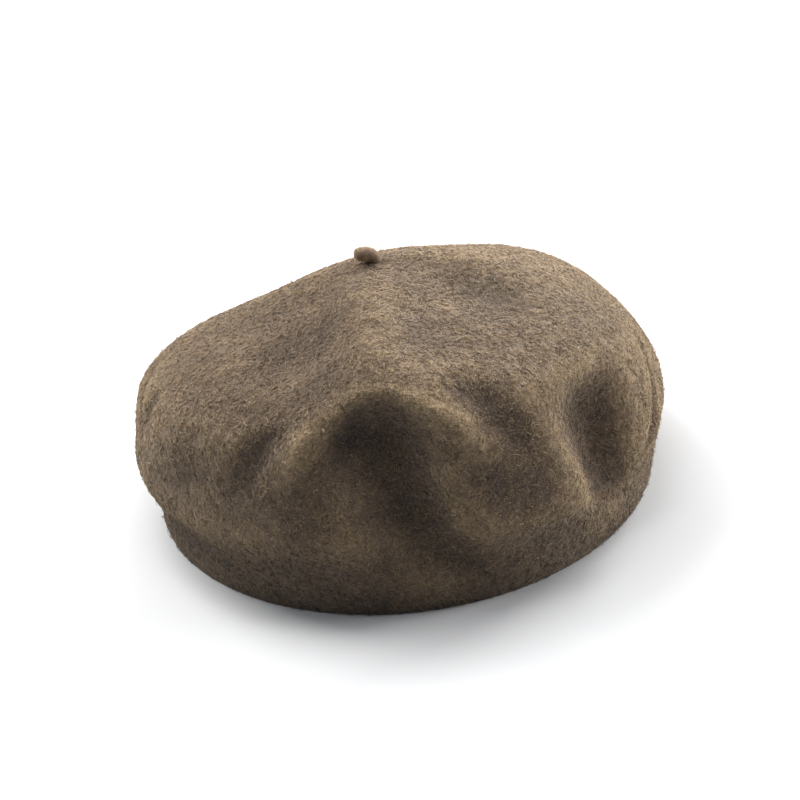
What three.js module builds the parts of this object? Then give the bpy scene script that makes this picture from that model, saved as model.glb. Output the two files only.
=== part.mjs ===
// Basque beret: one soft felt crown, hollow and open at the rim, with a bent felt stalk on top.
// Millimetres, +Z up, the wearer's front towards -Y. An azimuth is 0 at the front and grows
// towards +X. A share runs up the felt, from 0 at the rim to 1 at the apex.

import * as THREE from "three";

// Driving dimensions.
const HEAD_CIRCUMFERENCE = 580;
const FELT_WALL = 2.5;
const APEX_HEIGHT = 93;
const APEX_SHIFT_X = -3.5;
const BAND_HEIGHT = 12;
const TUCK_HEIGHT = 18;
const MID_RADIUS_PART = 0.5;

// The rim is level and flat; the wall's lower face eases into its true slope above this share.
const FLAT_RIM_SHARE = 0.05;

// Where the felt leaves the wall for the top, and where a fold turns from inward to downward.
const TOP_START_SHARE = 0.3;
const TOP_FULL_SHARE = 0.85;

const COLUMNS = 108;
const ROW_BANDS = table("upTo rows", [
  [0.23, 5],
  [0.50, 9],
  [1.00, 9],
]);

// Shares of the stations that every section passes: rim, band, tuck, wide, shoulder, mid, apex.
const STATION_SHARES = [0, 0.075, 0.115, 0.23, 0.41, 0.71, 1];

const SECTIONS = table(
  "azimuth bandRadius tuckRadius wideRadius wideHeight shoulderRadius shoulderHeight midHeight", [
    [  0, 96.4, 97.4,  99.5, 36, 86, 77, 89.0],
    [ 30, 97.2, 98.2, 101.0, 34, 86, 68, 86.0],
    [ 60, 97.0, 97.8,  99.5, 31, 89, 62, 84.0],
    [ 95, 97.0, 98.0, 101.5, 32, 87, 58, 87.0],
    [130, 96.8, 98.2, 102.0, 30, 86, 58, 80.5],
    [180, 96.5, 98.0, 101.0, 30, 79, 51, 72.0],
    [225, 96.0, 98.0, 100.0, 30, 82, 49, 72.0],
    [265, 95.4, 98.6, 100.5, 30, 91, 56, 79.5],
    [295, 95.4, 98.0, 100.5, 31, 89, 63, 80.0],
    [330, 95.8, 97.0, 100.0, 34, 87, 65, 85.0],
  ]);

// Each fold is a valley that runs down from its top share to its foot share. Its azimuth moves by
// lean on the way, its half width goes from topWidth to footWidth, and its depth comes in over the
// rise and goes out over the fade. A crisp fold has sharp banks, a skewed one lies to one side,
// and one of negative depth stands proud.
const FOLDS = table("name azimuth top foot lean topWidth footWidth depth crisp skew rise fade", [
  ["front_tent",     -7, 0.98, 0.46,   0, 10,  15, -3.0, 2,  0.00, 0.60, 0.30],
  ["front_vee",     -11, 0.49, 0.04,  18,  7,  86,  9.0, 3,  0.00, 0.35, 1.00],
  ["front_groove",  -10, 0.49, 0.02,  18, 15,  19, 12.0, 2,  0.20, 0.36, 0.50],
  ["left_ridge",    -11, 0.52, 0.25, -25, 10,  14, -2.8, 2,  0.00, 0.40, 0.60],
  ["right_ridge",     2, 0.48, 0.26,  24,  8,  11, -2.4, 2,  0.00, 0.40, 0.50],
  ["front_left",    -29, 0.48, 0.16, -10,  8,  18,  5.0, 2,  0.00, 0.40, 0.80],
  ["left_hollow",   -48, 0.44, 0.12,  -6, 18,  28,  3.5, 2,  0.00, 0.50, 0.60],
  ["front_right",    19, 0.53, 0.16,   6,  9,  18,  5.5, 2,  0.00, 0.35, 0.70],
  ["dent_ridge",     33, 0.54, 0.16,  10, 13,  12, -1.5, 2,  0.00, 0.40, 0.70],
  ["right_dent",     49, 0.46, 0.07,   0, 22,  10, 15.0, 2,  0.10, 0.40, 0.45],
  ["far_ridge",      82, 0.40, 0.06, -26,  6,  12, -1.8, 2,  0.00, 0.40, 0.60],
  ["far_right",      87, 0.38, 0.15, -28,  6,   7,  7.0, 4,  0.00, 0.40, 0.50],
  ["far_left",      -92, 0.46, 0.27,  14,  4,   5,  3.6, 5,  0.00, 0.40, 0.40],
  ["left_crease",   -75, 0.46, 0.28,  -2,  5,   6,  2.4, 4,  0.00, 0.40, 0.40],
  ["left_notch",    -62, 0.17, 0.05,   8, 20,  26,  1.6, 3,  0.00, 0.40, 0.40],
  ["top_left",      -36, 0.80, 0.46, -12, 11,  17,  2.8, 2,  0.00, 0.50, 0.50],
  ["top_far_left",  -80, 0.84, 0.50,  -6,  9,  14,  1.2, 2,  0.00, 0.50, 0.50],
  ["top_right",      66, 0.88, 0.55,  -6, 10,  18,  1.6, 2,  0.00, 0.50, 0.50],
  ["back_right",    138, 0.55, 0.15,   4, 12,  18,  5.0, 3,  0.00, 0.50, 0.60],
  ["back",          186, 0.60, 0.18,  -6, 14,  20,  4.0, 3,  0.00, 0.50, 0.60],
  ["back_left",     236, 0.52, 0.16,   4, 10,  16,  4.0, 3,  0.00, 0.50, 0.60],
]);

// Folds this close to the apex keep the width that they have at this radius.
const LEAST_FOLD_RADIUS = 25;

// The stalk stands beside the apex and bends over to the wearer's right, and a little forward.
const STALK_ROOT_X = -1.8;
const STALK_ROOT_Y = -0.5;
const STALK_GAP = 0.3;
const STALK_HEIGHT = 3.8;
const STALK_REACH = 7.4;
const STALK_LEAN = 1.4;
const STALK_DROOP = 0.5;
const STALK_SIDES = 16;
const STALK_SECTIONS = table("along radius", [
  [0.00, 2.2],
  [0.12, 2.4],
  [0.35, 2.7],
  [0.60, 2.9],
  [0.80, 2.8],
  [0.92, 2.3],
  [0.98, 1.3],
]);

const FELT_COLOUR = 0x786a57;
const STALK_COLOUR = 0x6e6250;

/** Rows of values as objects with named columns. */
function table(columns, rows) {
  const names = columns.split(" ");
  return rows.map((row) => Object.fromEntries(row.map((value, i) => [names[i], value])));
}

/** 0 below 0, 1 above 1, and a smooth step between. */
function ease(x) {
  const t = THREE.MathUtils.clamp(x, 0, 1);
  return t * t * (3 - 2 * t);
}

/** Height at x of the cubic Hermite curve through the knots, with slopes from their neighbours. */
function curveThrough(knots, values, x, levelEnd = false) {
  const last = knots.length - 1;
  const above = knots.findIndex((knot) => knot > x);
  const k = above < 0 ? last - 1 : Math.max(above - 1, 0);
  const slope = (i) => {
    if (levelEnd && i === last) return 0;
    const before = Math.max(i - 1, 0);
    const after = Math.min(i + 1, last);
    return (values[after] - values[before]) / (knots[after] - knots[before]);
  };
  const step = knots[k + 1] - knots[k];
  const t = (x - knots[k]) / step;
  const bend = t * t * (3 - 2 * t);
  return values[k] * (1 - bend) + values[k + 1] * bend
    + step * t * (1 - t) * ((1 - t) * slope(k) - t * slope(k + 1));
}

/** A column of the sections at an azimuth, smooth all the way round. */
function aroundSections(column, azimuth) {
  const turns = [-360, 0, 360];
  const knots = turns.flatMap((turn) => SECTIONS.map((row) => row.azimuth + turn));
  const values = turns.flatMap(() => SECTIONS.map((row) => row[column]));
  return curveThrough(knots, values, THREE.MathUtils.euclideanModulo(azimuth, 360));
}

/** The seven stations of the unfolded section at an azimuth. */
function stationsAt(azimuth) {
  const at = (column) => aroundSections(column, azimuth);
  const rimRadius = HEAD_CIRCUMFERENCE / (2 * Math.PI) + FELT_WALL;
  const shoulderRadius = at("shoulderRadius");
  return {
    radii: [rimRadius, at("bandRadius"), at("tuckRadius"), at("wideRadius"), shoulderRadius,
      shoulderRadius * MID_RADIUS_PART, 0],
    heights: [0, BAND_HEIGHT, TUCK_HEIGHT, at("wideHeight"), at("shoulderHeight"), at("midHeight"),
      APEX_HEIGHT],
  };
}

/** Radius, height and outward direction of the unfolded felt. */
function sectionPoint(stations, share) {
  const at = (x) => new THREE.Vector2(
    curveThrough(STATION_SHARES, stations.radii, x),
    curveThrough(STATION_SHARES, stations.heights, x, true),
  );
  const nudge = 0.002;
  const along = at(Math.min(share + nudge, 1)).sub(at(Math.max(share - nudge, 0))).normalize();
  return { point: at(share), outward: new THREE.Vector2(along.y, -along.x) };
}

/** How deep one fold presses the felt in at an azimuth and share. */
function foldDepth(fold, azimuth, share, radius) {
  const down = (fold.top - share) / (fold.top - fold.foot);
  if (down <= 0 || down >= 1) return 0;
  const halfWidth = THREE.MathUtils.lerp(fold.topWidth, fold.footWidth, down);
  const turn = THREE.MathUtils.euclideanModulo(azimuth - fold.azimuth - fold.lean * down + 180, 360) - 180;
  let across = THREE.MathUtils.degToRad(turn) * Math.max(radius, LEAST_FOLD_RADIUS) / halfWidth;
  if (Math.abs(across) < 1) across -= fold.skew * (1 - across * across);
  const bowl = Math.log1p(Math.exp(fold.crisp * (1 - across * across))) / Math.log1p(Math.exp(fold.crisp));
  return fold.depth * bowl * ease(down / fold.rise) * ease((1 - down) / fold.fade);
}

/** A point of the felt, on its outside or, with an inset of one wall, on its inside. */
function feltPoint(azimuth, share, inset) {
  const { point, outward } = sectionPoint(stationsAt(azimuth), share);
  const depth = FOLDS.reduce((sum, fold) => sum + foldDepth(fold, azimuth, share, point.x), 0);
  const topPart = ease((share - TOP_START_SHARE) / (TOP_FULL_SHARE - TOP_START_SHARE));
  const pressed = Math.PI / 2 * topPart;
  const level = ease(share / FLAT_RIM_SHARE);
  const radius = share < 1 ? point.x - inset * outward.x - depth * Math.cos(pressed) : 0;
  const height = point.y - inset * outward.y * level - depth * Math.sin(pressed);
  const angle = THREE.MathUtils.degToRad(azimuth);
  const shift = APEX_SHIFT_X * ease((share - TOP_START_SHARE) / (1 - TOP_START_SHARE));
  return new THREE.Vector3(radius * Math.sin(angle) + shift, -radius * Math.cos(angle), height);
}

/** The shares of the rows of facets, from the rim to the apex. */
function rowShares() {
  const shares = [0];
  for (const band of ROW_BANDS) {
    const start = shares.at(-1);
    for (let i = 1; i <= band.rows; i += 1) {
      shares.push(start + (band.upTo - start) * i / band.rows);
    }
  }
  return shares;
}

/** The felt crown: a lathed wall, from the inner apex over the rim to the outer apex, then folded. */
function crownGeometry() {
  const up = rowShares();
  const rows = [
    ...up.toReversed().map((share) => ({ share, inset: FELT_WALL })),
    ...up.map((share) => ({ share, inset: 0 })),
  ];
  const front = rows.map(({ share, inset }) => feltPoint(0, share, inset));
  const profile = front.map((point) => new THREE.Vector2(Math.max(-point.y, 0), point.z));
  const geometry = new THREE.LatheGeometry(profile, COLUMNS);
  const { position } = geometry.attributes;
  for (let i = 0; i < position.count; i += 1) {
    const column = Math.floor(i / rows.length) % COLUMNS;
    const { share, inset } = rows[i % rows.length];
    const point = feltPoint(360 * column / COLUMNS, share, inset);
    position.setXYZ(i, point.x, point.y, point.z);
  }
  return geometry;
}

/** The stalk: a lathed stub with a round end, bent along its centre line. */
function stalkGeometry() {
  const root = new THREE.Vector3(STALK_ROOT_X, STALK_ROOT_Y, APEX_HEIGHT + STALK_GAP);
  const bend = root.clone().add(new THREE.Vector3(0, 0, STALK_HEIGHT));
  const tip = bend.clone().add(new THREE.Vector3(-STALK_REACH, -STALK_LEAN, -STALK_DROOP));
  const centreLine = new THREE.QuadraticBezierCurve3(root, bend, tip);
  const profile = [
    new THREE.Vector2(0, 0),
    ...STALK_SECTIONS.map(({ along, radius }) => new THREE.Vector2(radius, along)),
    new THREE.Vector2(0, 1),
  ];
  const geometry = new THREE.LatheGeometry(profile, STALK_SIDES);
  const { position } = geometry.attributes;
  for (let i = 0; i < position.count; i += 1) {
    const centre = centreLine.getPoint(position.getY(i));
    const along = centreLine.getTangent(position.getY(i));
    const over = new THREE.Vector3().crossVectors(along, new THREE.Vector3(0, 1, 0)).normalize();
    const side = new THREE.Vector3().crossVectors(over, along);
    const point = centre.addScaledVector(over, position.getX(i)).addScaledVector(side, position.getZ(i));
    position.setXYZ(i, point.x, point.y, point.z);
  }
  return geometry;
}

function feltMesh(name, geometry, colour) {
  geometry.computeVertexNormals();
  const felt = new THREE.MeshStandardMaterial({ color: colour, roughness: 0.95, metalness: 0 });
  const mesh = new THREE.Mesh(geometry, felt);
  mesh.name = name;
  return mesh;
}

const beret = new THREE.Group();
beret.add(feltMesh("crown", crownGeometry(), FELT_COLOUR));
beret.add(feltMesh("stalk", stalkGeometry(), STALK_COLOUR));

// The origin is the middle of the beret's footprint, on the surface that the rim rests on.
const size = new THREE.Box3().setFromObject(beret);
beret.position.set(-(size.min.x + size.max.x) / 2, -(size.min.y + size.max.y) / 2, 0);

export default beret;
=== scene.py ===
"""Basque beret of brown wool felt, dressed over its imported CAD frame.

Metres, +Z up, the wearer's front towards -Y. An azimuth is 0 at the front and grows towards +X.
A share runs up the felt, from 0 at the rim to 1 at the apex. The tables are in millimetres.
"""

import math

import bmesh
import bpy
import numpy as np
from bpy.props import FloatProperty, FloatVectorProperty, IntProperty, PointerProperty
from mathutils import Matrix, Vector, noise


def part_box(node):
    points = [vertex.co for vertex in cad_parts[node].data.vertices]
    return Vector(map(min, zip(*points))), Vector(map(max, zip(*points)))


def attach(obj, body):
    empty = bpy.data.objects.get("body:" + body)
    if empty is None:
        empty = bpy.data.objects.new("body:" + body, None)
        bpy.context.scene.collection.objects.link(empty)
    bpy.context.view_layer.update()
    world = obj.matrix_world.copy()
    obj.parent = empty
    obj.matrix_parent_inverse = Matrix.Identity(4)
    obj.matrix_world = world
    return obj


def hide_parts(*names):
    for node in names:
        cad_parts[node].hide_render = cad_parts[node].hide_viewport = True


bl_info = {
    "name": "Basque Beret",
    "version": (1, 0, 0),
    "blender": (4, 5, 0),
    "location": "View3D > Sidebar > Beret",
    "description": "Builds a felt beret with its folds, nap and stalk, and a plain studio for it",
    "category": "Object",
}

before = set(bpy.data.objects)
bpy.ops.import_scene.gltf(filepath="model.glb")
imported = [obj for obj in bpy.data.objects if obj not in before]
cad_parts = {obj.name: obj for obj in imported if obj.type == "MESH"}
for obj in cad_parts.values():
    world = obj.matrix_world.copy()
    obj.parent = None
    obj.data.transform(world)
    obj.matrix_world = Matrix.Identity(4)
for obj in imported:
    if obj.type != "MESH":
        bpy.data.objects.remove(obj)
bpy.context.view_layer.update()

BODY = "root"
CROWN_NODE = "crown"
STALK_NODE = "stalk"
MM = 0.001

# Heights of the head band and of the tuck above it, in millimetres, and the radius of the middle
# of the top as a part of the shoulder's.
BAND_HEIGHT = 12
TUCK_HEIGHT = 18
MID_RADIUS_PART = 0.5

# Where the apex lies from the rim's centre, in millimetres. The top leans over to it.
APEX_SHIFT_X = -3.5

# The wall's foot is level at the rim, and square to the felt from the first share up. Folds press
# straight in up to the second share, and straight down from the third.
FLAT_RIM_SHARE = 0.05
TOP_START_SHARE = 0.3
TOP_FULL_SHARE = 0.85

# Nearer the apex than this, in millimetres, a fold keeps its angle instead of its width.
LEAST_FOLD_RADIUS = 25

# Small values: how near the apex counts as it, how far along the felt its direction is measured,
# how near points are merged, and the least length that is divided by.
APEX_NEARNESS = 1e-6
DIRECTION_STEP = 0.002
MERGE_DISTANCE = 1e-7
LEAST_LENGTH = 1e-12

# Points of the CAD crown below this height, in millimetres, belong to its rim.
RIM_POINTS_BELOW = 0.1

# The crown's columns, and its rows up to each share, outside and inside.
COLUMNS = 300
OUTER_ROWS = [(0.23, 44), (0.50, 84), (1.00, 92)]
INNER_ROWS = [(0.23, 14), (0.50, 28), (1.00, 22)]

# Shares of the stations that every section passes: rim, band, tuck, wide, shoulder, mid, apex.
STATION_SHARES = [0, 0.075, 0.115, 0.23, 0.41, 0.71, 1]

SECTION_COLUMNS = ("azimuth bandRadius tuckRadius wideRadius wideHeight"
                   " shoulderRadius shoulderHeight midHeight")
SECTIONS = [
    (0, 96.4, 97.4, 99.5, 36, 86, 77, 89),
    (30, 97.2, 98.2, 101, 34, 86, 68, 86),
    (60, 97, 97.8, 99.5, 31, 89, 62, 84),
    (95, 97, 98, 101.5, 32, 87, 58, 87),
    (130, 96.8, 98.2, 102, 30, 86, 58, 80.5),
    (180, 96.5, 98, 101, 30, 79, 51, 72),
    (225, 96, 98, 100, 30, 82, 49, 72),
    (265, 95.4, 98.6, 100.5, 30, 91, 56, 79.5),
    (295, 95.4, 98, 100.5, 31, 89, 63, 80),
    (330, 95.8, 97, 100, 34, 87, 65, 85),
]

# Each fold is a valley that runs down from its top share to its foot share. Its azimuth moves by
# lean on the way, its half width goes from topWidth to footWidth, and its depth comes in over the
# rise and goes out over the fade. A crisp fold has sharp banks, a skewed one lies to one side,
# and one of negative depth stands proud.
FOLD_COLUMNS = "name azimuth top foot lean topWidth footWidth depth crisp skew rise fade"
FOLDS = [
    ("front_tent", -7, 0.98, 0.46, 0, 10, 15, -3, 2, 0, 0.6, 0.3),
    ("front_vee", -11, 0.49, 0.04, 18, 7, 86, 9, 3, 0, 0.35, 1),
    ("front_groove", -10, 0.49, 0.02, 18, 15, 19, 12, 2, 0.2, 0.36, 0.5),
    ("left_ridge", -11, 0.52, 0.25, -25, 10, 14, -2.8, 2, 0, 0.4, 0.6),
    ("right_ridge", 2, 0.48, 0.26, 24, 8, 11, -2.4, 2, 0, 0.4, 0.5),
    ("front_left", -29, 0.48, 0.16, -10, 8, 18, 5, 2, 0, 0.4, 0.8),
    ("left_hollow", -48, 0.44, 0.12, -6, 18, 28, 3.5, 2, 0, 0.5, 0.6),
    ("front_right", 19, 0.53, 0.16, 6, 9, 18, 5.5, 2, 0, 0.35, 0.7),
    ("dent_ridge", 33, 0.54, 0.16, 10, 13, 12, -1.5, 2, 0, 0.4, 0.7),
    ("right_dent", 49, 0.46, 0.07, 0, 22, 10, 15, 2, 0.1, 0.4, 0.45),
    ("far_ridge", 82, 0.4, 0.06, -26, 6, 12, -1.8, 2, 0, 0.4, 0.6),
    ("far_right", 87, 0.38, 0.15, -28, 6, 7, 7, 4, 0, 0.4, 0.5),
    ("far_left", -92, 0.46, 0.27, 14, 4, 5, 3.6, 5, 0, 0.4, 0.4),
    ("left_crease", -75, 0.46, 0.28, -2, 5, 6, 2.4, 4, 0, 0.4, 0.4),
    ("left_notch", -62, 0.17, 0.05, 8, 20, 26, 1.6, 3, 0, 0.4, 0.4),
    ("top_left", -36, 0.8, 0.46, -12, 11, 17, 2.8, 2, 0, 0.5, 0.5),
    ("top_far_left", -80, 0.84, 0.5, -6, 9, 14, 1.2, 2, 0, 0.5, 0.5),
    ("top_right", 66, 0.88, 0.55, -6, 10, 18, 1.6, 2, 0, 0.5, 0.5),
    ("back_right", 138, 0.55, 0.15, 4, 12, 18, 5, 3, 0, 0.5, 0.6),
    ("back", 186, 0.6, 0.18, -6, 14, 20, 4, 3, 0, 0.5, 0.6),
    ("back_left", 236, 0.52, 0.16, 4, 10, 16, 4, 3, 0, 0.5, 0.6),
]

# Soft lumps of the felt: how far apart they are and how high they stand, in millimetres.
LUMPS = [(24, 0.45), (9, 0.22), (4, 0.10)]

# Painted light and shade: ridges are painted lighter, as a painted highlight, and valleys darker, as
# painted shade. Each row changes the lightness, from 0 to 1, for each millimetre that the felt stands
# out from the felt at its reach all round. Broad folds show at the long reach and creases at the short
# one. The last value below is the change that the open felt would have, and is taken off.
PAINTED_SHADING_COLUMNS = "reach perMm"
PAINTED_SHADING_ROWS = [(11, 0.085), (5, 0.10)]
MOST_PAINTED_HIGHLIGHT = 0.28
MOST_PAINTED_VALLEY_SHADE = 0.10
FLAT_PAINTED_SHADING = 0.03

# Painted shade: the wool is painted darker towards the rim, from this height down.
RIM_PAINTED_SHADE = 0.14
PAINTED_RIM_SHADE_HEIGHT = 34

# The mean way over the outside of the felt from the rim to the apex.
FELT_LENGTH = 158

# The stub's centre line, from the rim's centre, and its radius along it, in millimetres. Its last
# ring, just short of the tip, closes the round end. It is a little oval and wrinkled.
STALK_ROOT = (-1.8, -0.5, 92.4)
STALK_BEND = (0.0, 0.0, 5.0)
STALK_TIP = (-7.4, -2.0, -0.6)
STALK_PROFILE = [(0.00, 2.8), (0.08, 2.5), (0.20, 2.45), (0.40, 2.65), (0.60, 2.85), (0.76, 2.85),
                 (0.83, 2.70), (0.86, 2.45), (0.89, 2.60), (0.93, 2.35), (0.96, 1.85), (0.98, 1.2)]
STALK_LAST_RING = (0.993, 0.6)
STALK_SIDES = 48
STALK_ROWS = 60
STALK_OVAL = 0.02
STALK_OVAL_TWIST = 5
STALK_WRINKLES = 0.03
STALK_WRINKLES_ROUND = 2
STALK_WRINKLES_ALONG = 6

# Equal sectors of the nap from the front on towards +X, named by where their middle lies.
NAP_SECTORS = ["front", "front_right", "back_right", "back", "back_left", "front_left"]
NAP_SEED = 17

# Length and thickness of the stalk's fibres, as a part of the crown's.
STALK_NAP_PART = 0.4

# Each fibre starts a little under the felt and runs over it in three steps. It turns by its curl,
# in degrees, at each step. For each length along the felt it climbs by its first slope at the first
# step and by its last slope at the last. A few fibres stand up. The ranges are the least and the
# most of an even spread, and sizes are spread round their mean.
ROOT_DEPTH = 0.10
CURL_SPREAD = 48
STANDING_PART = 0.06
STANDING_FIRST_SLOPE = (0.5, 0.9)
STANDING_LAST_SLOPE = (-0.2, 0.3)
LYING_FIRST_SLOPE = (0.20, 0.45)
LYING_LAST_SLOPE = (-0.30, 0.0)
SIZE_SPREAD = (0.6, 1.4)
FIBRE_STEPS = 3
FIBRE_SIDES = 3

# How much of the tip's lighter colour a fibre's corners have: its root, its two rings and its tip.
CORNER_TIPNESS = [0.0, 0.45, 0.45, 0.45, 0.8, 0.8, 0.8, 1.0]

# The wool's surface. Relief is the depth of the felt's tangle in metres.
WOOL_SPECULAR = 0.12
WOOL_SHEEN = 0.6
WOOL_SHEEN_ROUGHNESS = 0.38
WOOL_SHEEN_TINT = (1.0, 0.86, 0.64, 1.0)
FELT_ROUGHNESS = 0.95
FELT_RELIEF = 0.0012
FIBRE_ROUGHNESS = 0.85

# Where the felt's own colour lies between the darkest and the lightest, in the felt and in fibres.
FELT_COLOUR_AT = 0.45
FIBRE_COLOUR_AT = 0.50

# The floor's faint grain: its repeats for each metre, and how much of the paper's colour it keeps.
GRAIN_PER_METRE = 3.0
GRAIN_DARKEST = 0.99


def table(columns, rows):
    """Rows of values as dictionaries with named columns."""
    names = columns.split()
    return [dict(zip(names, row)) for row in rows]


# Settings


class BeretForm(bpy.types.PropertyGroup):
    """Sizes of the felt."""

    head_circumference: FloatProperty(
        name="Head Circumference", description="Length round the inside of the rim",
        default=0.580, unit="LENGTH")
    felt_wall: FloatProperty(
        name="Felt Wall", description="Thickness of the felt", default=0.0025, unit="LENGTH")
    apex_height: FloatProperty(
        name="Apex Height", description="Height of the apex above the rim",
        default=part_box(CROWN_NODE)[1][2], unit="LENGTH")
    fold_strength: FloatProperty(
        name="Fold Strength", description="How deep the folds are, 1 as designed",
        default=1.0, min=0.0, max=1.5, subtype="FACTOR")
    lump_strength: FloatProperty(
        name="Lump Strength", description="How lumpy the felt is, 1 as designed",
        default=1.0, min=0.0, max=3.0, subtype="FACTOR")


class BeretNap(bpy.types.PropertyGroup):
    """Short wool fibres that lie on the felt."""

    fibres: IntProperty(
        name="Fibres", description="Number of fibres on the crown", default=78000, min=0)
    stalk_fibres: IntProperty(
        name="Stalk Fibres", description="Number of fibres on the stalk", default=300, min=0)
    length: FloatProperty(
        name="Length", description="Mean length of a fibre", default=0.0023, unit="LENGTH")
    thickness: FloatProperty(
        name="Thickness", description="Mean thickness of a fibre", default=0.00019,
        precision=5, unit="LENGTH")


class BeretColours(bpy.types.PropertyGroup):
    """Colours of the wool and the studio."""

    felt: FloatVectorProperty(
        name="Felt", description="Colour of the felt", subtype="COLOR", size=3,
        default=(0.160, 0.108, 0.075), min=0.0, max=1.0)
    felt_dark: FloatVectorProperty(
        name="Dark Felt", description="Colour between the fibres", subtype="COLOR", size=3,
        default=(0.046, 0.039, 0.040), min=0.0, max=1.0)
    fibre_light: FloatVectorProperty(
        name="Light Fibre", description="Colour of the lightest fibres", subtype="COLOR", size=3,
        default=(0.480, 0.354, 0.205), min=0.0, max=1.0)
    floor: FloatVectorProperty(
        name="Floor", description="Colour of the floor", subtype="COLOR", size=3,
        default=(0.60, 0.60, 0.60), min=0.0, max=1.0)


class BeretStudio(bpy.types.PropertyGroup):
    """Lights."""

    light_strength: FloatProperty(
        name="Light Strength", description="Strength of all the softboxes, 1 as designed",
        default=1.0, min=0.0, subtype="FACTOR")
    sky_strength: FloatProperty(
        name="Sky Strength", description="Strength of the even cool light from all round",
        default=0.07, min=0.0)


# Shape of the felt


def ease(x):
    """0 below 0, 1 above 1, and a smooth step between."""
    t = np.clip(x, 0.0, 1.0)
    return t * t * (3 - 2 * t)


def unit(vectors):
    """The vectors at length one."""
    return vectors / np.maximum(np.linalg.norm(vectors, axis=1, keepdims=True), LEAST_LENGTH)


def curve_through(knots, values, x, level_end=False):
    """Cubic Hermite curves through the knots, one for each x, with slopes from the neighbours."""
    knots = np.asarray(knots, float)
    last = len(knots) - 1
    values = np.broadcast_to(np.asarray(values, float).reshape(last + 1, -1), (last + 1, len(x)))
    k = np.clip(np.searchsorted(knots, x, side="right") - 1, 0, last - 1)
    own = np.arange(len(x))

    def slope(i):
        before = np.maximum(i - 1, 0)
        after = np.minimum(i + 1, last)
        steep = (values[after, own] - values[before, own]) / (knots[after] - knots[before])
        return np.where(level_end & (i == last), 0.0, steep)

    step = knots[k + 1] - knots[k]
    t = (x - knots[k]) / step
    bend = t * t * (3 - 2 * t)
    return (values[k, own] * (1 - bend) + values[k + 1, own] * bend
            + step * t * (1 - t) * ((1 - t) * slope(k) - t * slope(k + 1)))


def around_sections(azimuth):
    """The columns of the sections at each azimuth, smooth all the way round."""
    rows = table(SECTION_COLUMNS, SECTIONS)
    turns = (-360, 0, 360)
    knots = [row["azimuth"] + turn for turn in turns for row in rows]
    return {
        name: curve_through(knots, [row[name] for _ in turns for row in rows], azimuth % 360)
        for name in SECTION_COLUMNS.split()[1:]
    }


def stations_at(azimuth, form):
    """Radii and heights of the seven stations at each azimuth."""
    at = around_sections(azimuth)
    one = np.ones_like(azimuth)
    rim_radius = (form.head_circumference / (2 * math.pi) + form.felt_wall) / MM
    radii = [rim_radius * one, at["bandRadius"], at["tuckRadius"], at["wideRadius"],
             at["shoulderRadius"], at["shoulderRadius"] * MID_RADIUS_PART, 0 * one]
    heights = [0 * one, BAND_HEIGHT * one, TUCK_HEIGHT * one, at["wideHeight"],
               at["shoulderHeight"], at["midHeight"], form.apex_height / MM * one]
    return np.array(radii), np.array(heights)


def fold_depth(fold, azimuth, share, radius):
    """How deep one fold presses the felt in at each azimuth and share."""
    down = np.clip((fold["top"] - share) / (fold["top"] - fold["foot"]), 0.0, 1.0)
    half_width = fold["topWidth"] + (fold["footWidth"] - fold["topWidth"]) * down
    turn = (azimuth - fold["azimuth"] - fold["lean"] * down + 180) % 360 - 180
    across = np.radians(turn) * np.maximum(radius, LEAST_FOLD_RADIUS) / half_width
    across = np.where(np.abs(across) < 1, across - fold["skew"] * (1 - across ** 2), across)
    crisp = fold["crisp"]
    bowl = np.log1p(np.exp(crisp * (1 - across ** 2))) / math.log1p(math.exp(crisp))
    return fold["depth"] * bowl * ease(down / fold["rise"]) * ease((1 - down) / fold["fade"])


def felt_points(azimuth, share, inset, form):
    """Points of the felt in millimetres from the rim's centre, at an inset from its outside."""
    radii, heights = stations_at(azimuth, form)

    def at(x):
        return np.array([curve_through(STATION_SHARES, radii, x),
                         curve_through(STATION_SHARES, heights, x, True)])

    ahead = np.minimum(share + DIRECTION_STEP, 1)
    behind = np.maximum(share - DIRECTION_STEP, 0)
    along = at(ahead) - at(behind)
    along = along / np.linalg.norm(along, axis=0)
    outward = np.array([along[1], -along[0]])
    radius, height = at(share)
    depth = sum(fold_depth(fold, azimuth, share, radius) for fold in table(FOLD_COLUMNS, FOLDS))
    depth = depth * form.fold_strength
    pressed = math.pi / 2 * ease((share - TOP_START_SHARE) / (TOP_FULL_SHARE - TOP_START_SHARE))
    level = ease(share / FLAT_RIM_SHARE)
    off_axis = share < 1 - APEX_NEARNESS
    radius = np.where(off_axis, radius - inset * outward[0] - depth * np.cos(pressed), 0.0)
    height = height - inset * outward[1] * level - depth * np.sin(pressed)
    angle = np.radians(azimuth)
    shift = APEX_SHIFT_X * ease((share - TOP_START_SHARE) / (1 - TOP_START_SHARE))
    return np.stack([radius * np.sin(angle) + shift, -radius * np.cos(angle), height], axis=1)


def row_shares(bands):
    """Shares of the rows from the rim to the apex."""
    shares = [0.0]
    for up_to, rows in bands:
        start = shares[-1]
        shares += [start + (up_to - start) * (i + 1) / rows for i in range(rows)]
    return shares


def rim_centre():
    """The middle of the CAD crown's rim, on the floor."""
    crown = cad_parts[CROWN_NODE].data
    places = np.empty(len(crown.vertices) * 3)
    crown.vertices.foreach_get("co", places)
    places = places.reshape(-1, 3)
    rim = places[places[:, 2] < RIM_POINTS_BELOW * MM]
    return (rim.min(axis=0) + rim.max(axis=0)) / 2 * (1, 1, 0)


def lump_height(place):
    """How far the felt stands out or in at a place in millimetres."""
    return sum(height * noise.noise(Vector(place) / apart) for apart, height in LUMPS)


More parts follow.
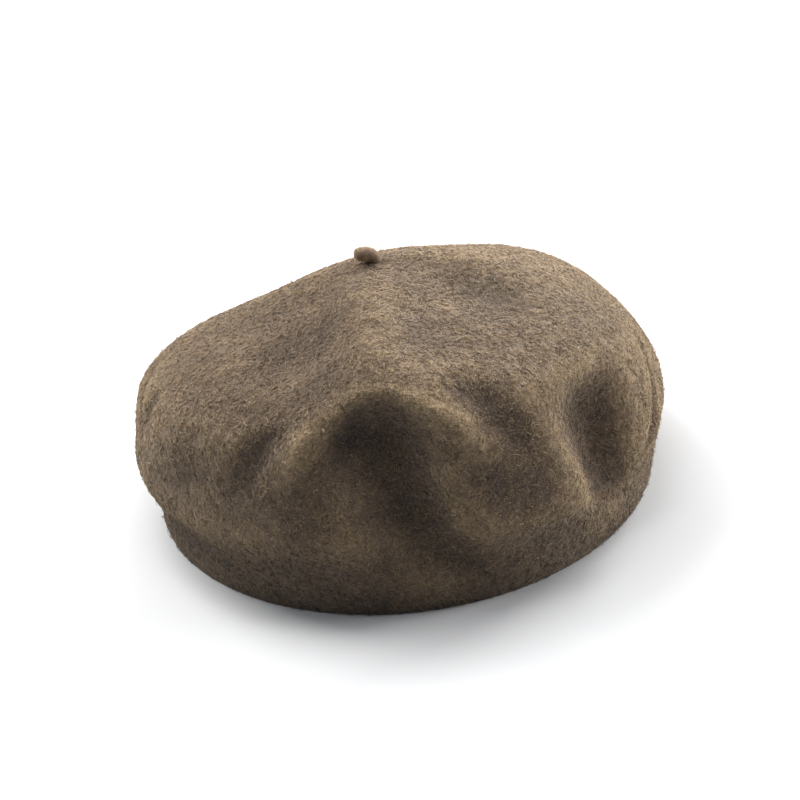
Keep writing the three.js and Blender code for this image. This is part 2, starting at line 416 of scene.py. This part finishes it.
def painted_felt_shading(azimuth, share, inset, places, form):
    """Painted light and shade: lighter on ridges, and darker, below 0, in valleys and low down."""
    radius = np.maximum(np.hypot(places[:, 0], places[:, 1]), LEAST_FOLD_RADIUS)
    wear = -FLAT_PAINTED_SHADING
    for row in table(PAINTED_SHADING_COLUMNS, PAINTED_SHADING_ROWS):
        turn = np.degrees(row["reach"] / radius)
        step = row["reach"] / FELT_LENGTH
        right, left = [felt_points(azimuth + way * turn, share, inset, form) for way in (1, -1)]
        above, below = [felt_points(azimuth, np.clip(share + way * step, 0, 1), inset, form)
                        for way in (1, -1)]
        outward = unit(np.cross(right - left, above - below))
        stands_out = ((places - (right + left + above + below) / 4) * outward).sum(axis=1)
        wear = wear + stands_out * row["perMm"]
    wear = np.clip(wear, -MOST_PAINTED_VALLEY_SHADE, MOST_PAINTED_HIGHLIGHT)
    # Painted shade towards the rim.
    return wear - RIM_PAINTED_SHADE * ease(1 - places[:, 2] / PAINTED_RIM_SHADE_HEIGHT)


def piece_from(bm, name, material, replaced=None):
    """A finished piece from a bmesh, riding on the beret's one body."""
    mesh = bpy.data.meshes.new(name)
    bm.to_mesh(mesh)
    bm.free()
    return dress(mesh, name, material, replaced)


def dress(mesh, name, material, replaced=None):
    """A piece of the beret from a finished mesh."""
    mesh.materials.append(material)
    mesh.polygons.foreach_set("use_smooth", [True] * len(mesh.polygons))
    mesh.update()
    piece = bpy.data.objects.new(name, mesh)
    bpy.context.scene.collection.objects.link(piece)
    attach(piece, BODY)
    if replaced:
        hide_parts(replaced)
    return piece


def sort_faces(bm):
    """Puts the faces in the order of their corners, because a spin makes them in a changing order."""
    bm.verts.index_update()
    count = len(bm.verts)

    def number(face):
        first, second, third = sorted(vert.index for vert in face.verts)[:3]
        return (first * count + second) * count + third

    bm.faces.sort(key=number)
    bm.faces.index_update()


def spin_profile(bm, profile, steps):
    """Turns an open profile in the bmesh fully round Z and closes its seam and poles."""
    edges = [bm.edges.new(pair) for pair in zip(profile, profile[1:])]
    bmesh.ops.spin(bm, geom=list(profile) + edges, cent=(0, 0, 0), axis=(0, 0, 1), dvec=(0, 0, 0),
                   angle=2 * math.pi, steps=steps, use_merge=True, use_duplicate=False)
    bmesh.ops.remove_doubles(bm, verts=bm.verts, dist=MERGE_DISTANCE)
    sort_faces(bm)


def build_crown(form, material):
    """The felt wall, spun from its front section and pressed into its folds."""
    bm = bmesh.new()
    share_layer = bm.verts.layers.float.new("share")
    inset_layer = bm.verts.layers.float.new("inset")
    painted_shading_layer = bm.verts.layers.float.new("wear")
    wall = form.felt_wall / MM
    rows = [(share, wall) for share in reversed(row_shares(INNER_ROWS))]
    rows += [(share, 0.0) for share in row_shares(OUTER_ROWS)]
    shares, insets = np.array(rows).T
    front = felt_points(np.zeros_like(shares), shares, insets, form)
    profile = []
    for (share, inset), place in zip(rows, front):
        vert = bm.verts.new((0, min(place[1], 0) * MM, place[2] * MM))
        vert[share_layer] = share
        vert[inset_layer] = inset
        profile.append(vert)
    spin_profile(bm, profile, COLUMNS)

    verts = list(bm.verts)
    azimuth = np.array([math.degrees(math.atan2(vert.co.x, -vert.co.y)) for vert in verts])
    share = np.array([vert[share_layer] for vert in verts])
    inset = np.array([vert[inset_layer] for vert in verts])
    points = felt_points(azimuth, share, inset, form)
    centre = rim_centre()
    bmesh.ops.recalc_face_normals(bm, faces=bm.faces)
    # Painted light and shade for each point: lighter on ridges, darker in valleys and towards the rim.
    wear = painted_felt_shading(azimuth, share, inset, points, form)
    for vert, place, own_painted_shading in zip(verts, points, wear):
        vert.co = Vector(place) * MM + Vector(centre)
        vert[painted_shading_layer] = own_painted_shading
    bm.normal_update()
    moves = []
    for vert, place in zip(verts, points):
        lift = 1 if vert[inset_layer] < wall / 2 else -1
        soft = min(place[2] / BAND_HEIGHT, 1)
        moves.append(vert.normal * (lift * lump_height(place) * soft * form.lump_strength * MM))
    for vert, move in zip(verts, moves):
        vert.co += move
    return piece_from(bm, "felt_crown", material, CROWN_NODE)


def build_stalk(material):
    """The stub: a spun, rounded finger of felt, bent over along its centre line."""
    root = Vector(rim_centre()) + Vector(STALK_ROOT) * MM
    corner = root + Vector(STALK_BEND) * MM
    tip = corner + Vector(STALK_TIP) * MM
    along, radii = np.array(STALK_PROFILE).T
    bm = bmesh.new()
    steps = np.linspace(0, along[-1], STALK_ROWS)
    rings = [*zip(steps, np.interp(steps, along, radii)), STALK_LAST_RING]
    profile = [bm.verts.new((0, 0, 0))]
    profile += [bm.verts.new((0, -width * MM, step)) for step, width in rings]
    profile.append(bm.verts.new((0, 0, 1.0)))
    spin_profile(bm, profile, STALK_SIDES)
    for vert in bm.verts:
        t = vert.co.z
        centre = root * (1 - t) ** 2 + corner * (2 * t * (1 - t)) + tip * t ** 2
        way = ((corner - root) * (1 - t) + (tip - corner) * t).normalized()
        over = Vector((0, 1, 0)).cross(way).normalized()
        side = way.cross(over)
        turn = math.atan2(vert.co.y, vert.co.x)
        round_place = Vector((math.cos(turn), math.sin(turn), 0)) * STALK_WRINKLES_ROUND
        wrinkle_place = round_place + Vector((0, 0, STALK_WRINKLES_ALONG * t))
        wrinkle = 1 + STALK_OVAL * math.sin(2 * turn + STALK_OVAL_TWIST * t)
        wrinkle += STALK_WRINKLES * noise.noise(wrinkle_place)
        vert.co = centre + (over * vert.co.x + side * vert.co.y) * wrinkle
    bmesh.ops.recalc_face_normals(bm, faces=bm.faces)
    return piece_from(bm, "felt_stalk", material, STALK_NODE)


# Nap


def outer_triangles(piece):
    """Corners, corner normals and corner painted light and shade of a piece's outside triangles."""
    mesh = piece.data
    mesh.calc_loop_triangles()
    places = np.empty(len(mesh.vertices) * 3)
    mesh.vertices.foreach_get("co", places)
    normals = np.empty(len(mesh.vertices) * 3)
    mesh.vertices.foreach_get("normal", normals)
    corners = np.empty(len(mesh.loop_triangles) * 3, int)
    mesh.loop_triangles.foreach_get("vertices", corners)
    corners = corners.reshape(-1, 3)
    wear = np.zeros(len(mesh.vertices))
    if "inset" in mesh.attributes:
        inset = np.empty(len(mesh.vertices))
        mesh.attributes["inset"].data.foreach_get("value", inset)
        mesh.attributes["wear"].data.foreach_get("value", wear)
        corners = corners[inset[corners].max(axis=1) <= 0]
    return places.reshape(-1, 3)[corners], normals.reshape(-1, 3)[corners], wear[corners]


def scatter(piece, count, rng):
    """Random places spread evenly over a piece, with their normals and painted light and shade."""
    places, normals, wear = outer_triangles(piece)
    areas = np.linalg.norm(np.cross(places[:, 1] - places[:, 0], places[:, 2] - places[:, 0]), axis=1)
    chosen = rng.choice(len(areas), size=count, p=areas / areas.sum())
    first, second = rng.random((2, count, 1))
    over = first + second > 1
    first = np.where(over, 1 - first, first)
    second = np.where(over, 1 - second, second)
    weights = np.concatenate([1 - first - second, first, second], axis=1)
    roots, ways = [(corner[chosen] * weights[:, :, None]).sum(axis=1) for corner in (places, normals)]
    return roots, unit(ways), (wear[chosen] * weights).sum(axis=1)


def fibre_mesh(name, roots, normals, wear, length, thickness, rng):
    """Closed, curled, eight-cornered fibres of wool, all in one mesh."""
    count = len(roots)
    random_way = unit(np.cross(normals, rng.normal(size=(count, 3))))
    side_way = np.cross(normals, random_way)
    length = length * rng.uniform(*SIZE_SPREAD, count)
    curl = rng.normal(0.0, math.radians(CURL_SPREAD), count)
    standing = rng.random(count) < STANDING_PART
    first, last = [
        np.where(standing, rng.uniform(*when_standing, count), rng.uniform(*when_lying, count))
        for when_standing, when_lying in [(STANDING_FIRST_SLOPE, LYING_FIRST_SLOPE),
                                          (STANDING_LAST_SLOPE, LYING_LAST_SLOPE)]]
    spine = [roots - normals * ROOT_DEPTH * MM]
    for step in range(FIBRE_STEPS):
        turn = curl * step
        flat = random_way * np.cos(turn)[:, None] + side_way * np.sin(turn)[:, None]
        slope = first + (last - first) * step / (FIBRE_STEPS - 1)
        stride = (length / FIBRE_STEPS)[:, None]
        spine.append(spine[-1] + (flat + normals * slope[:, None]) * stride)
    radius = thickness / 2 * rng.uniform(*SIZE_SPREAD, count)[:, None]
    rings = []
    for ring in range(1, FIBRE_STEPS):
        way = unit(spine[ring + 1] - spine[ring - 1])
        across = unit(np.cross(way, normals))
        up = np.cross(across, way)
        for corner in range(FIBRE_SIDES):
            angle = math.pi / 2 + corner * 2 * math.pi / FIBRE_SIDES
            rings.append(spine[ring] + (across * math.cos(angle) + up * math.sin(angle)) * radius)
    corners = np.stack([spine[0], *rings, spine[-1]], axis=1)
    corners[:, :, 2] = np.maximum(corners[:, :, 2], 0.0)
    corner_count = len(CORNER_TIPNESS)
    root, low, high, tip = 0, 1, 1 + FIBRE_SIDES, corner_count - 1
    faces = []
    for corner in range(FIBRE_SIDES):
        after = (corner + 1) % FIBRE_SIDES
        faces += [(root, low + after, low + corner), (low + corner, low + after, high + after),
                  (low + corner, high + after, high + corner), (high + corner, high + after, tip)]
    own_start = corner_count * np.arange(count)[:, None, None]
    loops = (np.array(faces)[None] + own_start).reshape(-1)
    mesh = bpy.data.meshes.new(name)
    mesh.vertices.add(count * corner_count)
    mesh.vertices.foreach_set("co", corners.reshape(-1))
    mesh.loops.add(len(loops))
    mesh.loops.foreach_set("vertex_index", loops)
    mesh.polygons.add(len(loops) // 3)
    mesh.polygons.foreach_set("loop_start", np.arange(0, len(loops), 3))
    mesh.update(calc_edges=True)
    mesh.validate()
    # Each fibre keeps the painted light and shade of the felt under it.
    values = {"tone": np.repeat(rng.random(count), corner_count),
              "tipness": np.tile(CORNER_TIPNESS, count),
              "wear": np.repeat(wear, corner_count)}
    for kind, value in values.items():
        mesh.attributes.new(kind, "FLOAT", "POINT").data.foreach_set("value", value)
    return mesh


def build_nap(nap, material, stalk_material):
    """Wool fibres all over the crown, in sectors, and on the stalk."""
    rng = np.random.default_rng(NAP_SEED)
    roots, normals, wear = scatter(bpy.data.objects["felt_crown"], nap.fibres, rng)
    middle = rim_centre()
    azimuth = np.degrees(np.arctan2(roots[:, 0] - middle[0], middle[1] - roots[:, 1]))
    width = 360 / len(NAP_SECTORS)
    sector = ((azimuth + width / 2) % 360 // width).astype(int)
    for index, place in enumerate(NAP_SECTORS):
        own = sector == index
        name = f"nap_{place}"
        mesh = fibre_mesh(name, roots[own], normals[own], wear[own], nap.length, nap.thickness, rng)
        dress(mesh, name, material)
    roots, normals, wear = scatter(bpy.data.objects["felt_stalk"], nap.stalk_fibres, rng)
    length, thickness = nap.length * STALK_NAP_PART, nap.thickness * STALK_NAP_PART
    mesh = fibre_mesh("nap_stalk", roots, normals, wear, length, thickness, rng)
    dress(mesh, "nap_stalk", stalk_material)


# Materials


class Shade:
    """An output of a material's nodes. Sums and products of it add Math nodes."""

    def __init__(self, tree, socket=None):
        self.tree = tree
        self.socket = socket

    def node(self, kind, settings=None, sockets=None, output=0):
        """A new node: its settings are set first, then the values or links of its sockets."""
        made = self.tree.nodes.new(kind)
        for name, value in (settings or {}).items():
            if name == "stops":
                while len(made.color_ramp.elements) < len(value):
                    made.color_ramp.elements.new(0.5)
                for element, (position, colour) in zip(made.color_ramp.elements, value):
                    element.position = position
                    element.color = (*colour, 1)
            else:
                setattr(made, name, value)
        for name, value in (sockets or {}).items():
            if isinstance(value, Shade):
                self.tree.links.new(value.socket, made.inputs[name])
            else:
                made.inputs[name].default_value = value
        return Shade(self.tree, made.outputs[output])

    def math(self, operation, first, second):
        return self.node("ShaderNodeMath", {"operation": operation}, {0: first, 1: second})

    def __add__(self, other):
        return self.math("ADD", self, other)

    __radd__ = __add__

    def __mul__(self, other):
        return self.math("MULTIPLY", self, other)

    __rmul__ = __mul__

    def __sub__(self, other):
        return self.math("SUBTRACT", self, other)

    def __rsub__(self, other):
        return self.math("SUBTRACT", other, self)

    def mix(self, dark, light):
        """A colour between two, by this value."""
        return self.node("ShaderNodeMix", {"data_type": "RGBA"},
                         {"Factor": self, 6: (*dark, 1), 7: (*light, 1)}, output=2)

    def swing(self, strength):
        """This value taken round its middle, so that it is below 0 as often as above."""
        return (self - 0.5) * strength

    def pattern(self, per_metre, detail=2.0, distortion=0.0, roughness=0.5):
        """A noise pattern on these coordinates, from 0 to 1."""
        return self.node("ShaderNodeTexNoise", {}, {
            "Vector": self, "Scale": per_metre, "Detail": detail, "Roughness": roughness,
            "Distortion": distortion})

    def attribute(self, name):
        """A value that the mesh holds."""
        return self.node("ShaderNodeAttribute", {"attribute_name": name}, output="Fac")

    def wool_colour(self, colours, felt_at):
        """The wool's colour at this lightness, from the darkest to the lightest."""
        return self.node("ShaderNodeValToRGB", {"stops": [
            (0.0, colours.felt_dark), (felt_at, colours.felt), (1.0, colours.fibre_light)]},
            {"Fac": self})


def new_material(name):
    """A new material, a start for its nodes, and its shader."""
    material = bpy.data.materials.new(name)
    material.use_nodes = True
    start = Shade(material.node_tree)
    return material, start, material.node_tree.nodes["Principled BSDF"]


def wool_finish(material, shader, colour, roughness, height=None, relief=0.0):
    """Sets a wool shader: constants on its own sockets, and links for what varies."""
    links = material.node_tree.links
    links.new(colour.socket, shader.inputs["Base Color"])
    shader.inputs["Roughness"].default_value = roughness
    shader.inputs["Specular IOR Level"].default_value = WOOL_SPECULAR
    shader.inputs["Sheen Weight"].default_value = WOOL_SHEEN
    shader.inputs["Sheen Roughness"].default_value = WOOL_SHEEN_ROUGHNESS
    shader.inputs["Sheen Tint"].default_value = WOOL_SHEEN_TINT
    if height:
        bump = height.node("ShaderNodeBump", {}, {
            "Strength": 1.0, "Distance": relief, "Height": height})
        links.new(bump.socket, shader.inputs["Normal"])


def felt_material(name, colours, tangled=1.0, lightness=0.4):
    """Felted wool: a dark ground, tangled light strands, blotches, and painted light and shade."""
    material, start, shader = new_material(name)
    place = start.node("ShaderNodeTexCoord", output="Object")
    blotch = place.pattern(per_metre=34, roughness=0.6)
    clump = place.pattern(per_metre=210, detail=3, roughness=0.6)
    tangle = place.pattern(per_metre=620, detail=3, distortion=2.2, roughness=0.6)
    strand = place.pattern(per_metre=1150, distortion=3.0, roughness=0.6)
    height = tangle * 0.6 + strand * 0.4 + clump * 0.5
    strands = tangle.swing(1.3) + strand.swing(1.0) + clump.swing(0.6)
    # Painted light and shade from the mesh: lighter on ridges, darker in valleys and towards the rim.
    light = strands * tangled + blotch.swing(0.5) + start.attribute("wear") + lightness
    colour = light.wool_colour(colours, FELT_COLOUR_AT)
    wool_finish(material, shader, colour, FELT_ROUGHNESS, height, FELT_RELIEF * tangled)
    return material


def fibre_material(name, colours):
    """A single wool fibre, each with its own tone and darker towards its root."""
    material, start, shader = new_material(name)
    place = start.node("ShaderNodeTexCoord", output="Object")
    blotch = place.pattern(per_metre=40)
    clump = place.pattern(per_metre=560)
    lightness = start.attribute("tone") * 0.75 + start.attribute("tipness") * 0.25
    # The felt's painted light and shade, lighter on ridges and darker in valleys, carries onto the
    # fibres.
    lightness = lightness + start.attribute("wear") + blotch.swing(0.35) + clump.swing(0.8)
    wool_finish(material, shader, lightness.wool_colour(colours, FIBRE_COLOUR_AT), FIBRE_ROUGHNESS)
    return material


def floor_material(colours):
    """Pale, matt paper."""
    material, start, shader = new_material("pale_paper")
    place = start.node("ShaderNodeTexCoord", output="Object")
    grain = place.pattern(per_metre=GRAIN_PER_METRE)
    colour = grain.mix([part * GRAIN_DARKEST for part in colours.floor], colours.floor)
    material.node_tree.links.new(colour.socket, shader.inputs["Base Color"])
    shader.inputs["Roughness"].default_value = 1.0
    shader.inputs["Specular IOR Level"].default_value = 0.0
    return material


# Studio

# The photograph's view, from the rim's centre: angles in degrees and lengths in millimetres.
CAMERA_ELEVATION = 30.0
CAMERA_ROLL = 7.0
CAMERA_DISTANCE = 900.0
CAMERA_AIM = (1.2, 0.0, 32.3)
PIXELS_PER_MM = 2.615
FRAME_PIXELS = 800
SENSOR_WIDTH = 36.0

# The softboxes stand round the beret at one distance, each at its azimuth and elevation in
# degrees, with its power in watts. Most of the light comes from behind.
SOFTBOX_COLUMNS = "name azimuth elevation power"
SOFTBOXES = [
    ("back_left", 225, 45, 21),
    ("high_back", 180, 70, 10),
    ("low_back_right", 135, 20, 22),
    ("low_right", 90, 20, 12),
    ("left", 270, 45, 4),
]

# Sizes of the studio, in metres.
SOFTBOX_DISTANCE = 1.2
SOFTBOX_SIZE = 0.7
LIGHT_AIM = (0.0, 0.0, 0.05)
FLOOR_SIZE = 12.0

SKY_COLOUR = (0.50, 0.68, 1.0, 1.0)


def add_camera():
    """The camera at the photograph's angle."""
    elevation, roll = math.radians(CAMERA_ELEVATION), math.radians(CAMERA_ROLL)
    back = Vector((0, -math.cos(elevation), math.sin(elevation)))
    right = Vector((1, 0, 0))
    up = back.cross(right)
    turned_right = right * math.cos(roll) - up * math.sin(roll)
    turned_up = right * math.sin(roll) + up * math.cos(roll)
    data = bpy.data.cameras.new("photo_camera")
    data.sensor_width = SENSOR_WIDTH
    data.lens = SENSOR_WIDTH * PIXELS_PER_MM * CAMERA_DISTANCE / FRAME_PIXELS
    camera = bpy.data.objects.new("photo_camera", data)
    bpy.context.scene.collection.objects.link(camera)
    aim = Vector(rim_centre()) + Vector(CAMERA_AIM) * MM
    place = Matrix((turned_right, turned_up, back)).transposed().to_4x4()
    place.translation = aim + back * CAMERA_DISTANCE * MM
    camera.matrix_world = place
    bpy.context.scene.camera = camera


def add_softboxes(strength):
    """Square area lights that face the beret."""
    for box in table(SOFTBOX_COLUMNS, SOFTBOXES):
        azimuth, elevation = math.radians(box["azimuth"]), math.radians(box["elevation"])
        level = math.cos(elevation)
        way = Vector((math.sin(azimuth) * level, -math.cos(azimuth) * level, math.sin(elevation)))
        data = bpy.data.lights.new(box["name"], "AREA")
        data.size = SOFTBOX_SIZE
        data.energy = box["power"] * strength
        light = bpy.data.objects.new(box["name"], data)
        light.location = Vector(LIGHT_AIM) + way * SOFTBOX_DISTANCE
        light.rotation_euler = (-way).to_track_quat("-Z", "Y").to_euler()
        bpy.context.scene.collection.objects.link(light)


def add_floor(colours):
    """A plain pale floor under the rim."""
    bm = bmesh.new()
    bmesh.ops.create_grid(bm, x_segments=1, y_segments=1, size=FLOOR_SIZE / 2)
    mesh = bpy.data.meshes.new("floor")
    bm.to_mesh(mesh)
    bm.free()
    mesh.materials.append(floor_material(colours))
    floor = bpy.data.objects.new("floor", mesh)
    bpy.context.scene.collection.objects.link(floor)


def add_sky(strength):
    """Even, slightly cool light from all round."""
    world = bpy.data.worlds.new("studio")
    world.use_nodes = True
    background = world.node_tree.nodes["Background"]
    background.inputs["Color"].default_value = SKY_COLOUR
    background.inputs["Strength"].default_value = strength
    bpy.context.scene.world = world


# Operators and panel


class BERET_OT_crown(bpy.types.Operator):
    """Make the hollow felt crown with its folds."""

    bl_idname = "beret.crown"
    bl_label = "Make Crown"

    def execute(self, context):
        build_crown(context.scene.beret_form, felt_material("brown_felt", context.scene.beret_colours))
        return {"FINISHED"}


class BERET_OT_stalk(bpy.types.Operator):
    """Make the bent stalk on the apex."""

    bl_idname = "beret.stalk"
    bl_label = "Make Stalk"

    def execute(self, context):
        colours = context.scene.beret_colours
        # The stalk's felt is painted lighter than the crown's all over, as painted light for its lit
        # top, and its strands are smoother.
        build_stalk(felt_material("stalk_felt", colours, tangled=0.35, lightness=0.5))
        return {"FINISHED"}


class BERET_OT_nap(bpy.types.Operator):
    """Lay wool fibres on the crown and the stalk."""

    bl_idname = "beret.nap"
    bl_label = "Lay Nap"

    def execute(self, context):
        missing = [name for name in ("felt_crown", "felt_stalk") if name not in bpy.data.objects]
        if missing:
            raise RuntimeError(f"The nap needs {' and '.join(missing)} first")
        colours = context.scene.beret_colours
        build_nap(context.scene.beret_nap, fibre_material("wool_fibre", colours),
                  fibre_material("stalk_fibre", colours))
        return {"FINISHED"}


class BERET_OT_stage(bpy.types.Operator):
    """Set the floor, the lights and the camera."""

    bl_idname = "beret.stage"
    bl_label = "Set Stage"

    def execute(self, context):
        studio = context.scene.beret_studio
        add_camera()
        add_floor(context.scene.beret_colours)
        add_softboxes(studio.light_strength)
        add_sky(studio.sky_strength)
        context.scene.view_settings.view_transform = "Standard"
        return {"FINISHED"}


class BERET_PT_panel(bpy.types.Panel):
    """The beret's operators and settings."""

    bl_label = "Beret"
    bl_idname = "BERET_PT_panel"
    bl_space_type = "VIEW_3D"
    bl_region_type = "UI"
    bl_category = "Beret"

    def draw(self, context):
        for operator in OPERATORS:
            self.layout.operator(operator.bl_idname)
        for group in SETTINGS:
            settings = getattr(context.scene, group)
            box = self.layout.box()
            for name in settings.__annotations__:
                box.prop(settings, name)


SETTINGS = {
    "beret_form": BeretForm,
    "beret_nap": BeretNap,
    "beret_colours": BeretColours,
    "beret_studio": BeretStudio,
}
OPERATORS = [BERET_OT_stage, BERET_OT_crown, BERET_OT_stalk, BERET_OT_nap]


def register():
    for made in (*SETTINGS.values(), *OPERATORS, BERET_PT_panel):
        bpy.utils.register_class(made)
    for name, group in SETTINGS.items():
        setattr(bpy.types.Scene, name, PointerProperty(type=group))


def unregister():
    for name in SETTINGS:
        delattr(bpy.types.Scene, name)
    for made in (BERET_PT_panel, *reversed(OPERATORS), *reversed(SETTINGS.values())):
        bpy.utils.unregister_class(made)


def main():
    register()
    bpy.ops.beret.stage()
    bpy.ops.beret.crown()
    bpy.ops.beret.stalk()
    bpy.ops.beret.nap()


if __name__ == "__main__":
    main()
